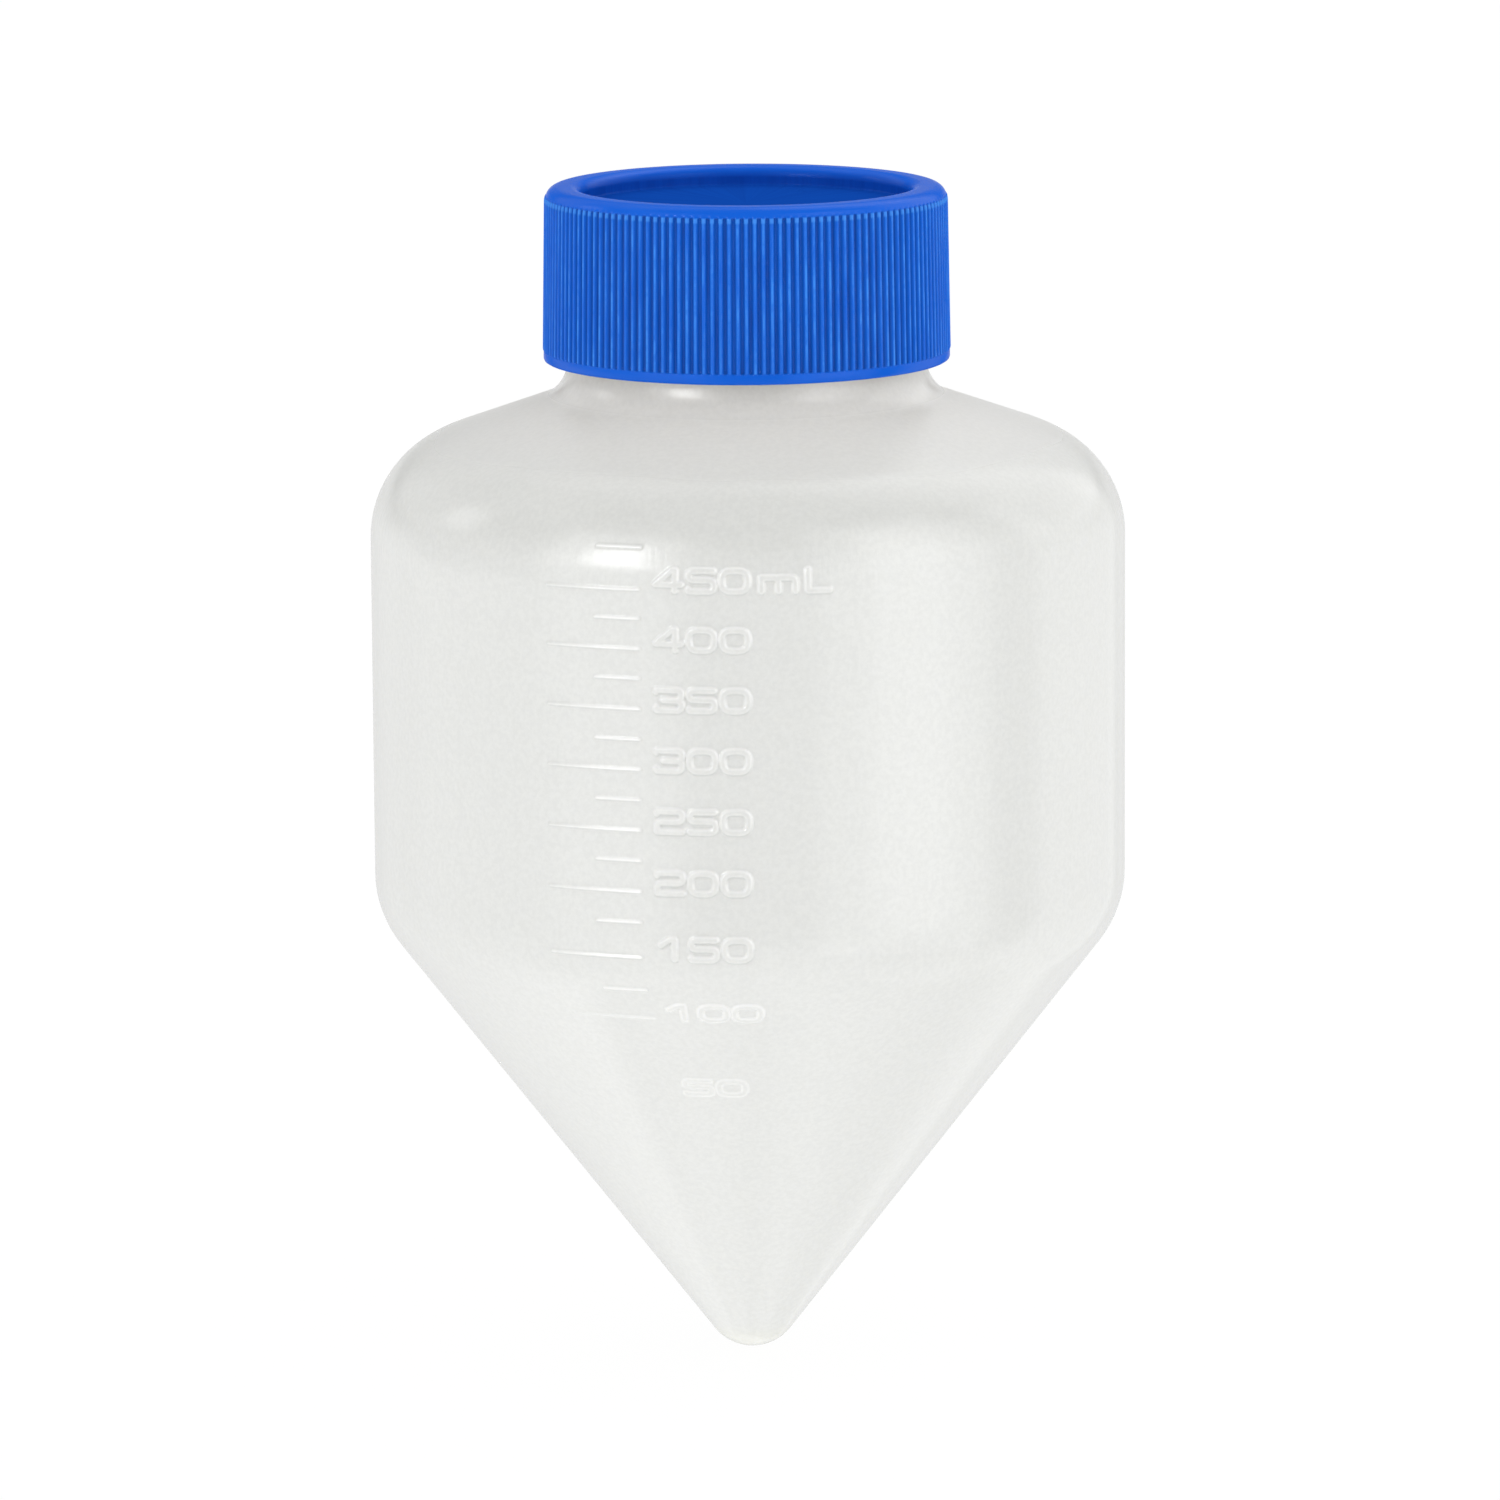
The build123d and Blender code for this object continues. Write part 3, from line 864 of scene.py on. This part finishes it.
def cap_material():
    mat = bpy.data.materials.new("blue_cap_plastic")
    cloud_blues = (0.0035, 0.116, 0.700), (0.0050, 0.130, 0.745)
    recess_shade_blue, bounce_grey = (0.0060, 0.058, 0.370), (0.30, 0.29, 0.28)
    net = ShaderNet(mat)
    pos = net.coords("Object")
    x, y, z = net.split(pos)
    angle = net.angle(x, y)
    radius = net.radius(x, y)
    cloud = net.noise(pos, scale=160.0)
    colour = net.mix(net.ramp(cloud, (0.2, 0.8), kind="LINEAR"), *cloud_blues)
    colour = rib_colour(net, colour, pos, z, radius, angle)
    # painted shade: the sunken centre of the top is darker
    recess = net.mul(net.rise(radius, 0.0214, 0.0206), net.rise(z, 0.1475, 0.1480))
    colour = net.mix(net.mul(recess, 0.70), colour, recess_shade_blue)

    # diffuse and glossy rays see most of the cap grey, so its blue does not tint the bottle
    path = net.node("LightPath").outputs
    bounce = net.math("MAXIMUM", path["Is Diffuse Ray"], path["Is Glossy Ray"])
    outside = net.rise(radius, 0.0244, 0.0250)
    below_recess = net.fall(z, 0.1472, 0.1476)
    bounce = net.mul(bounce, net.math("MAXIMUM", outside, below_recess))
    # a waxy sheen that does not flare where the surface turns away
    away = net.node("LayerWeight", {"Blend": 0.5}).outputs["Facing"]
    sheen = net.mul(net.ramp(away, (0.42, 0.74), to=(0.5, 0.012)),
                    net.math("SUBTRACT", 1.0, recess))
    pits = net.noise(pos, scale=1100.0, rough=0.6)
    plastic = net.node("BsdfPrincipled", {
        "Base Color": net.mix(bounce, colour, bounce_grey),
        "Normal": net.bump(pits, strength=0.4, distance=0.00005).outputs[0],
        "Roughness": net.ramp(cloud, (0.3, 0.7), to=(0.16, 0.22)),
        "Specular IOR Level": sheen,
        "IOR": 1.25,
    })
    net.finish(plastic.outputs[0])
    return mat


def seal_material():
    mat = bpy.data.materials.new("seal_elastomer")
    cloud_tints = (0.70, 0.70, 0.67), (0.78, 0.78, 0.75)
    net = ShaderNet(mat)
    pos = net.coords("Object")
    cloud = net.noise(pos, scale=300.0, rough=0.6)
    grain = net.noise(pos, scale=2500.0, rough=0.6)
    rubber = net.node("BsdfPrincipled", {
        "Base Color": net.mix(net.rise(cloud, 0.3, 0.7), *cloud_tints),
        "Normal": net.bump(grain, strength=0.5, distance=0.00004).outputs[0],
        "Roughness": 0.55,
    })
    net.finish(rubber.outputs[0])
    return mat


# ----------------------------------------------------------------- pieces ----
# Object, material, CAD node, body, slot.
pieces = (
    (build_bottle(), bottle_material(), "bottle", "bottle", "bottle_plastic"),
    (build_cap(), cap_material(), "screw_cap", "cap", "cap_plastic"),
    (build_seal(), seal_material(), "seal_ring", "seal", "seal"),
)
for obj, material, cad_node, body, slot in pieces:
    obj.data.materials.append(material)
    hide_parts(cad_node)
    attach(obj, body)
for obj, material, cad_node, body, slot in pieces:
    cad_materials = frame["nodes"][cad_node].data.materials
    cad_materials.clear()
    cad_materials.append(material)


# ------------------------------------------------------ light, floor, camera ----
# Patches of the room that shiny surfaces mirror, in degrees: angle from and to, elevation from
# and to, half widths of the soft edges in angle and in elevation, then brightness.
# Angle 0 is the camera's side, positive angles lie to the right; +-400 leaves that side open.
ROOM_GLOW = 0.03
TABLE_PATCH = (-400, 400, -91, -50, 1, 14, 0.58)
PATCHES = (
    (-400, 400, -91, -70, 1, 8, 0.45),       # nearest part of the table
    (-400, 400, 82, 91, 1, 4, 0.60),         # opening overhead
    (110, 400, 9, 76, 20, 4, 0.62),          # far wall, right
    (-400, -110, 9, 76, 20, 4, 0.45),        # far wall, left
    (84, 400, 50, 79, 12, 6, 0.95),          # ceiling edge, right
    (-400, -84, 50, 79, 12, 6, 0.60),        # ceiling edge, left
    (-84, 84, 66, 79, 12, 5, 0.28),          # ceiling edge, camera's side
    (118, 178, 36, 60, 12, 8, 0.60),         # brighter part, far right
    (150, 400, -80, 6, 8, 3, 0.91),          # pale cloth behind, right
    (-400, -150, -80, 6, 8, 3, 0.93),        # pale cloth behind, left
    (-150, -31, -80, 34, 8, 14, 0.38),       # left wall
    (-150, -120, -80, 2, 8, 8, 0.66),        # its far end
    (-120, -66, -64, -5, 8, 4, 0.92),        # its lower half
    (-66, -20, -64, 14, 8, 7, 1.00),         # its near end
    (-62, -24, -40, 26, 8, 8, 0.55),         # middle of the near end
    (-118, -26, 40, 54, 10, 6, 0.50),        # its upper strip
    (142, 400, 8, 44, 10, 5, 0.32),          # window behind, right
    (-400, -142, 8, 44, 10, 5, 0.14),        # window behind, left
    (-22, 38, -64, -20, 9, 8, 0.90),         # table's edge on the camera's side
    (38, 98, -60, -30, 9, 4, 0.75),          # table's edge, right
    (-24, 24, -24, -7, 8, 4, 0.32),          # strip above the table's edge
    (-30, -8, 10, 42, 6, 6, 0.42),           # window strip
    (22, 78, -30, 53, 4, 2.5, 1.40),         # soft box on the right
    (37, 64, -14, 47, 6, 3, 1.35),           # its bright middle
    (37, 108, 12, 42, 6, 5, 0.90),           # glow across its right side
    (98, 150, -48, 50, 5, 10, 1.05),         # right wall
    (-66, -22, 10, 43, 6, 4, 2.2),           # lamp's reflector, left
    (-51, -32.5, 13, 33, 5.0, 3.5, 8.2),     # lamp
    (-116, -101, 19, 35, 4, 5, 1.8),         # small lamp, left
)


def mirrored_room(net, x, y, z):
    """Brightness of the room in a direction."""
    angle = net.angle(x, y)
    elevation = net.math("ARCSINE", z)

    def edge(at, soft):
        return math.radians(at - soft), math.radians(at + soft)

    def patch(left, right, bottom, top, soft_angle, soft_elevation, brightness):
        return net.mul(net.band(angle, rise=edge(left, soft_angle), fall=edge(right, soft_angle)),
                       net.rise(elevation, *edge(bottom, soft_elevation)),
                       net.fall(elevation, *edge(top, soft_elevation)), brightness)

    level = net.add(patch(*TABLE_PATCH), ROOM_GLOW)
    for values in PATCHES:
        level = net.add(level, patch(*values))
    return level


def world_light():
    """A pale studio: patches for mirror rays, even light for matte surfaces, white for the eye."""
    world = bpy.data.worlds.new("studio")
    bpy.context.scene.world = world
    net = ShaderNet(world)
    x, y, z = net.split(net.coords("Generated"))
    room = net.node("Background", {"Strength": mirrored_room(net, x, y, z)})
    # matte surfaces get a little more from below and from the right
    even = net.add(net.mul(z, -0.11), 1.27)
    soft = net.node("Background", {"Strength": net.add(even, net.mul(x, 0.05))})
    white = net.node("Background", {"Color": (1.0, 1.0, 1.0), "Strength": 1.0})
    path = net.node("LightPath").outputs
    lit = net.blend(path["Is Glossy Ray"], soft.outputs[0], room.outputs[0])
    net.finish(net.blend(path["Is Camera Ray"], lit, white.outputs[0]), "OutputWorld")
    world.cycles.sampling_method = "NONE"


def floor():
    half, z = 6.0, -0.0004      # metres
    mesh = bpy.data.meshes.new("floor")
    mesh.from_pydata([(-half, -half, z), (half, -half, z), (half, half, z), (-half, half, z)],
                     [], [(0, 1, 2, 3)])
    obj = bpy.data.objects.new("floor", mesh)
    bpy.context.scene.collection.objects.link(obj)
    mat = bpy.data.materials.new("pale_floor")
    net = ShaderNet(mat)
    glow = net.node("Emission", {"Strength": 0.875})
    matte = net.node("BsdfDiffuse", {"Color": (0.14, 0.14, 0.14)})
    pale = net.node("AddShader", {0: glow.outputs[0], 1: matte.outputs[0]})
    # seen from underneath the floor is clear, so the bottle's underside shows
    below = net.node("NewGeometry").outputs["Backfacing"]
    clear = net.node("BsdfTransparent")
    net.finish(net.blend(below, pale.outputs[0], clear.outputs[0]))
    mesh.materials.append(mat)
    obj.visible_diffuse = obj.visible_glossy = obj.visible_transmission = False


def camera():
    """A long lens on the -Y side, looking slightly down at a point on the axis."""
    pitch, roll = math.radians(10.266), math.radians(0.35)
    distance_m, target_z = 1.1879, 0.074      # metres
    cam = bpy.data.cameras.new("camera")
    cam.sensor_width = 36.0
    cam.lens = 222.8304
    cam.shift_x, cam.shift_y = 0.0004, 0.0208
    cam.clip_start, cam.clip_end = 0.05, 50.0
    obj = bpy.data.objects.new("camera", cam)
    bpy.context.scene.collection.objects.link(obj)
    back = Vector((0, -math.cos(pitch), math.sin(pitch)))
    obj.location = Vector((0, 0, target_z)) + back * distance_m
    aim = (-back).to_track_quat("-Z", "Y")
    obj.rotation_mode = "QUATERNION"
    obj.rotation_quaternion = aim @ Matrix.Rotation(-roll, 4, "Z").to_quaternion()
    bpy.context.scene.camera = obj


world_light()
floor()
camera()
view = bpy.context.scene.view_settings
view.view_transform = "Standard"
view.look = "None"
view.exposure = 0.0
view.gamma = 1.0
